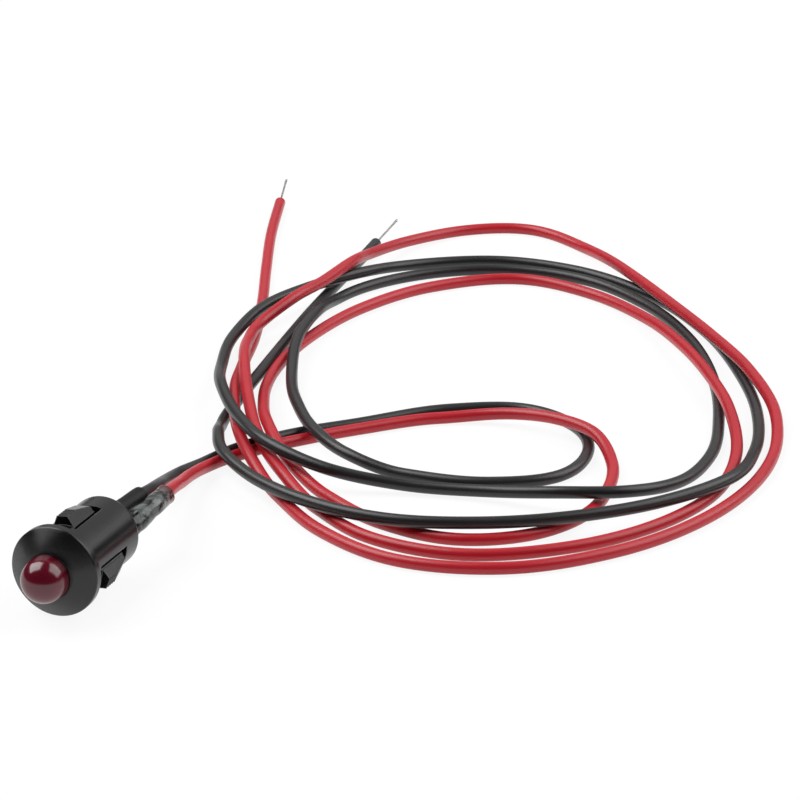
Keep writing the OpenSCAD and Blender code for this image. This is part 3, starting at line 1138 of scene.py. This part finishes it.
RED_ROUTE = (
    (0.35, 45.9, 0), (4.45, 51.7, 0), (9.5, 57.5, 0), (16.1, 63.3, 0), (24.05, 66.6, 0.5),
    (30.35, 65.45, 1), (35.6, 62.9, 1), (39.45, 57.3, 0.25), (41.2, 50.8, 0), (41.9, 43.85, 0),
    (38.65, 36.3, 0), (31.05, 31.5, 0), (22.2, 32.75, 0), (13.55, 37.7, 0), (6.85, 42.75, 0.5),
    (0.8, 50.55, 1.25), (-3.75, 58.3, 0.5), (-6.8, 66.05, 0), (-7.9, 74.35, 0),
    (-8.2, 83.95, 0), (-6.5, 94, 0), (-1.65, 104.6, 0), (7.9, 112.05, 0), (17.55, 110.05, 0),
    (27, 103.45, 0.25), (35.45, 94.05, 0.75), (42.4, 83.65, 1), (46.55, 76.85, 1),
    (51.35, 65.85, 0.25), (52.9, 53.85, 0), (49.85, 44.45, 0), (43.05, 34.5, 0),
    (32.4, 27.75, 0), (22.1, 28.5, 0), (13.5, 34.35, 0), (7.2, 39.95, 0.75), (0.65, 47.05, 1),
    (-4.35, 56.45, 1.5), (-8.8, 65.05, 2), (-12.95, 74.2, 1.25), (-14.45, 80.25, 1),
    (-12.65, 87.05, 2), (-11.35, 93.4, 2), (-11.45, 101.6, 2), (-12.1, 109.3, 1),
    (-10.2, 118.85, 0.25), (-5.95, 126.6, 0), (1.45, 130.4, 0), (10, 126.55, 0),
    (16.95, 119.5, 0.75), (22.95, 112.9, 1), (30.05, 106.2, 1), (37.5, 97.75, 1),
    (45.5, 88.8, 1), (51.55, 79.25, 0.5), (55.15, 69.2, 0), (55.8, 59, 0), (53.9, 47.35, 0),
    (48.05, 35.55, 0), (38.8, 26.45, 0), (27.3, 23.9, 0), (16.6, 28.4, 0), (8.55, 35.75, 0),
    (1.95, 42.65, 1), (-3.9, 50.95, 1), (-7.85, 59.65, 1), (-11.5, 68.95, 0.25),
    (-14.3, 79.9, 0), (-18.45, 90.4, 0), (-23.55, 102.25, 0), (-28.7, 115.7, 0),
    (-32.9, 127.75, 0),
)

# Sizes of the sleeves and of what they cover, and the points that their centre lines turn
# at, in millimetres, as the CAD model has them
BORE_R = 3.05
BARREL_L = 11.0
SLEEVE_START = 4.1
LEG_Z = 1.27
RESISTOR_L = 3.8
RESISTOR_GAP = 0.7
BLACK_SLEEVE_R, BLACK_PLAY, BLACK_SIDE = 1.0, 1.04, 110
RED_SLEEVE_R, RED_PLAY, RED_SIDE = 1.25, 0.18, -18
# How far the leads' insulation reaches into the sleeves, past a turn of their centre lines
BLACK_REACH, RED_REACH = 0.9, 2.2


def exit_point(out: float, side: float) -> Vector:
    """Return the point where a sleeve leaves the barrel.

    Args:
        out: its distance from the axis.
        side: its direction from +X towards +Z, in degrees.

    Returns:
        The point, in millimetres.
    """
    angle = math.radians(side)
    return Vector((out * math.cos(angle), BARREL_L, out * math.sin(angle)))


BLACK_LEG_END = Vector((-0.15, 7.0, 1.35))
BLACK_EXIT = exit_point(BORE_R - BLACK_SLEEVE_R - BLACK_PLAY, BLACK_SIDE)
BLACK_MOUTH = BLACK_EXIT + Vector((0.6, 7.6, 0.05))
BLACK_START = between(BLACK_EXIT, BLACK_LEG_END, BLACK_REACH)
RED_LEG_END = Vector((0.2, 6.7, -1.4))
RED_EXIT = exit_point(BORE_R - RED_SLEEVE_R - RED_PLAY, RED_SIDE)
RED_RISE = unit(Vector((1.4, 4.78, 1.65)))
RED_FAR = RED_EXIT + RED_RISE * (RESISTOR_L + 2 * RESISTOR_GAP)
RED_MOUTH = RED_FAR + Vector((-0.55, 4.42, -0.35))
RED_START = between(RED_FAR, RED_MOUTH, RED_REACH)


@dataclass
class Wiring:
    """Both sleeves, both leads and what is soldered together under the sleeves."""

    black_tube: ShrunkTube = ShrunkTube(
        dark=(0.005, 0.005, 0.005), light=(0.01, 0.01, 0.0105), roughness=0.46, ior=1.33
    )
    smoky_tube: ShrunkTube = ShrunkTube(
        dark=(0.012, 0.014, 0.014), light=(0.14, 0.155, 0.152), roughness=0.11, clear=0.12,
        glow=(0.1, 0.008, 0.007), mouth=tuple(RED_MOUTH * MM), lump=0.07 * MM,
    )
    black_vinyl: WireJacket = WireJacket((0.012, 0.012, 0.013), (0.02, 0.02, 0.021))
    red_vinyl: WireJacket = WireJacket((0.43, 0.007, 0.017), (0.52, 0.012, 0.025))

    def sleeves(self) -> None:
        """Build the two sleeves."""
        Sleeve(
            "black_shrink_sleeve",
            "black_sleeve",
            "black_sleeving",
            corners=((0.0, SLEEVE_START, LEG_Z), BLACK_LEG_END, BLACK_EXIT, BLACK_MOUTH),
            profile=(
                (0.0, 0.96 * MM), (0.5, 0.97 * MM), (0.8, 0.97 * MM), (0.93, 1.0 * MM),
                (1.0, 0.97 * MM),
            ),
            inner=0.73 * MM,
            finish=self.black_tube,
            seed=3.0,
        ).build()
        Sleeve(
            "smoky_shrink_sleeve",
            "red_sleeve",
            "red_sleeving",
            corners=((0.0, SLEEVE_START, -LEG_Z), RED_LEG_END, RED_EXIT, RED_FAR, RED_MOUTH),
            profile=(
                (0.0, 1.1 * MM), (0.3, 1.12 * MM), (0.4, 1.22 * MM), (0.62, 1.22 * MM),
                (0.72, 1.05 * MM), (0.8, 1.14 * MM), (0.88, 1.08 * MM), (1.0, 1.1 * MM),
            ),
            inner=0.85 * MM,
            finish=self.smoky_tube,
            wrinkle=0.09 * MM,
            seed=11.0,
        ).build()

    def joints(self) -> None:
        """Dress the CAD pieces that lie under the sleeves."""
        solder = Metal.SOLDER.material()
        for name in ("anode_solder", "resistor_solder", "cathode_solder"):
            dress(name, solder)
        wire = Metal.TINNED_WIRE.material()
        for name in (
            "resistor_front_leg", "resistor_rear_leg", "red_strands_inner", "black_strands_inner",
        ):
            dress(name, wire)
        front = (RED_EXIT + RED_RISE * RESISTOR_GAP) * MM
        coat = BandedCoat(tuple(front), tuple(RED_RISE), RESISTOR_L * MM)
        dress("resistor_body", coat.material("resistor_coat"))

    def leads(self) -> None:
        """Build both leads with their strands."""
        bare = Metal.BARE_STRANDS.material()
        Lead(
            "black_vinyl_lead", "black_lead", "black_lead_strands", "black_strands_end",
            "black_pvc", (BLACK_START, BLACK_EXIT, BLACK_MOUTH), BLACK_DROP, BLACK_ROUTE,
            self.black_vinyl,
        ).build(bare)
        Lead(
            "red_vinyl_lead", "red_lead", "red_lead_strands", "red_strands_end",
            "red_pvc", (RED_START, RED_MOUTH), RED_DROP, RED_ROUTE,
            self.red_vinyl,
        ).build(bare)

    def build(self) -> None:
        """Build all of it."""
        self.sleeves()
        self.joints()
        self.leads()


# ------------------------------------------------------------------------------- the room


@dataclass(frozen=True)
class SoftBox:
    """A soft lamp: place and size in metres, and power in watts."""

    place: Point
    width: float
    height: float
    power: float


class Light(Enum):
    """The studio's soft boxes."""

    LEFT = SoftBox((-0.56, 0.0, 0.8), 0.8, 0.85, 10.5)
    RIGHT = SoftBox((0.62, 0.4, 0.66), 0.9, 0.9, 7.0)
    BACK = SoftBox((0.0, 1.5, 0.95), 3.2, 1.2, 6.6)


@dataclass
class Studio:
    """A pale floor, soft lamps, a white surround and the camera."""

    azimuth: float = 22.744
    elevation: float = 21.381
    eye: Point = (0.1777187, -0.3332913, 0.1657921)
    lens: float = 180.0
    sensor: float = 36.0
    near: float = 0.01
    far: float = 20.0
    aim: Point = (0.01, 0.05, 0.0)
    floor_half: float = 3.0
    floor_base: Colour = (0.96, 0.96, 0.96)
    floor_roughness: float = 0.9
    white: Colour = (1.0, 1.0, 1.0)
    white_share: float = 0.9
    surround: float = 0.05

    def camera(self) -> None:
        """Set the camera."""
        data = bpy.data.cameras.new("camera")
        data.lens = self.lens
        data.sensor_width = self.sensor
        data.clip_start = self.near
        data.clip_end = self.far
        camera = bpy.data.objects.new("camera", data)
        camera.location = self.eye
        camera.rotation_euler = (
            math.radians(90 - self.elevation), 0.0, math.radians(self.azimuth),
        )
        bpy.context.scene.collection.objects.link(camera)
        bpy.context.scene.camera = camera

    def floor(self) -> None:
        """Lay the floor, which shows white but still takes the object's shadow."""
        half = self.floor_half
        plan = ((-half, -half), (half, -half), (half, half), (-half, half))
        corners = [Vector((x, y, FLOOR * MM)) for x, y in plan]
        floor = mesh_piece("floor", corners, [(0, 1, 2, 3)], smooth=False)
        g = Graph("floor_white")
        g.set(
            Base_Color=self.floor_base, Roughness=self.floor_roughness, Specular_IOR_Level=0.0
        )
        rays = g.add("ShaderNodeLightPath")
        seen = (
            g.out(rays, "Is Camera Ray")
            + g.out(rays, "Is Glossy Ray")
            + g.out(rays, "Is Transmission Ray")
        )
        glow = g.add("ShaderNodeEmission", None, {"Color": self.white, "Strength": 1.0})
        blend = g.add(
            "ShaderNodeMixShader",
            None,
            {0: (seen > 0.5) * self.white_share, 1: g.surface.outputs[0], 2: glow.outputs[0]},
        )
        g.feed(g.output.inputs["Surface"], blend.outputs[0])
        floor.data.materials.append(g.material)
        floor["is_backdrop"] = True

    def lamps(self) -> None:
        """Hang the soft lamps."""
        for light in Light:
            name, box = light.name.lower(), light.value
            data = bpy.data.lights.new(name, "AREA")
            data.shape = "RECTANGLE"
            data.size = box.width
            data.size_y = box.height
            data.energy = box.power
            lamp = bpy.data.objects.new(name, data)
            lamp.location = box.place
            way = Vector(self.aim) - Vector(box.place)
            lamp.rotation_euler = way.to_track_quat("-Z", "Y").to_euler()
            bpy.context.scene.collection.objects.link(lamp)

    def world(self) -> None:
        """Light the room evenly."""
        world = bpy.data.worlds.new("room")
        world.use_nodes = True
        back = world.node_tree.nodes["Background"]
        back.inputs["Color"].default_value = (*self.white, 1.0)
        back.inputs["Strength"].default_value = self.surround
        bpy.context.scene.world = world

    def build(self) -> None:
        """Build the studio."""
        bpy.context.scene.view_settings.view_transform = "Standard"
        self.world()
        self.floor()
        self.lamps()
        self.camera()


def main() -> None:
    """Build the studio and the object, piece by piece."""
    Studio().build()
    Wiring().build()
    Holder().build()
    Led().build()
    boxes = [[list(corner) for corner in box] for box in (CAD_BOX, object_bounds())]


if __name__ == "__main__":
    main()
